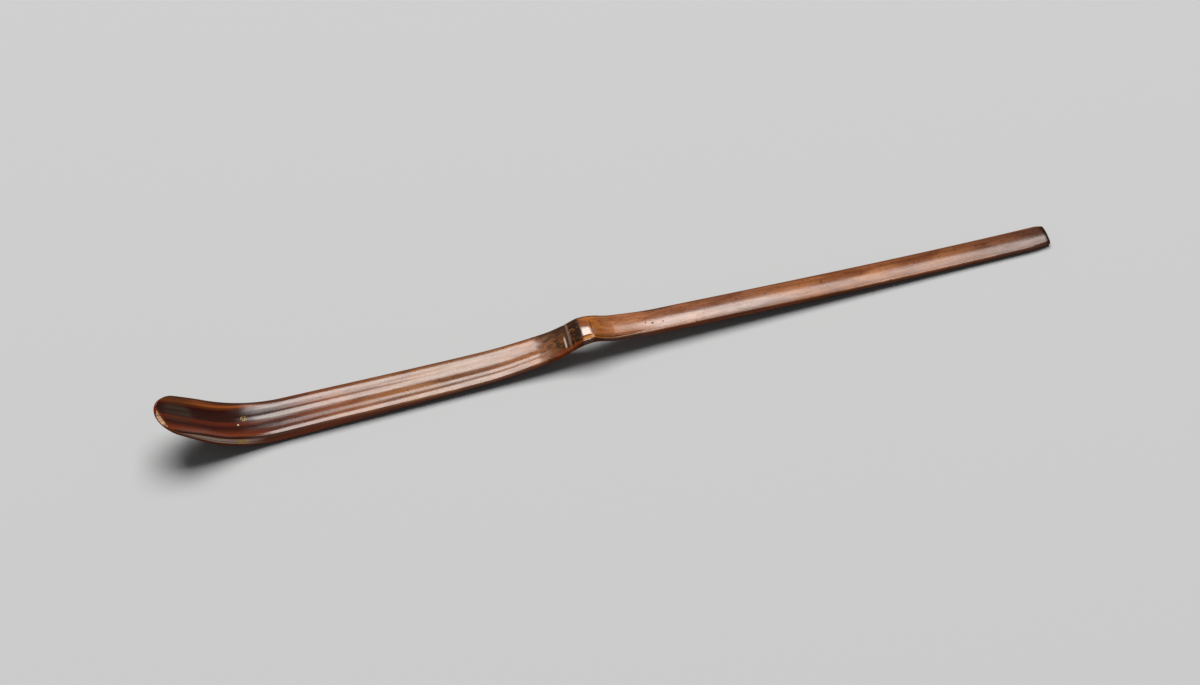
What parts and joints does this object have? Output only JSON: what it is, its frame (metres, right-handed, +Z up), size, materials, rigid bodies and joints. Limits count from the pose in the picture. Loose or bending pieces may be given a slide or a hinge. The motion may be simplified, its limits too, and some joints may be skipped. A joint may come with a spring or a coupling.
{
  "type": "chashaku tea scoop",
  "caption": "Slender bamboo tea scoop with an upturned round tip, a furrowed stem, a raised node near the middle and a rounded handle, coated with glossy red-brown lacquer.",
  "frame": {"origin": "on the table, under the middle of the scoop's box", "axes": "+X along the scoop to the cut end of the handle, +Y across it, +Z up from the table that it lies on"},
  "size_m": [0.1862, 0.01, 0.0132],
  "materials": {
    "bamboo": "pale carved bamboo, bare where the lacquer is chipped or rubbed off",
    "lacquer": "glossy red-brown lacquer"
  },
  "bodies": {
    "root": {"bamboo_body": "bamboo", "lacquer_coat": "lacquer"}
  },
  "joints": []
}
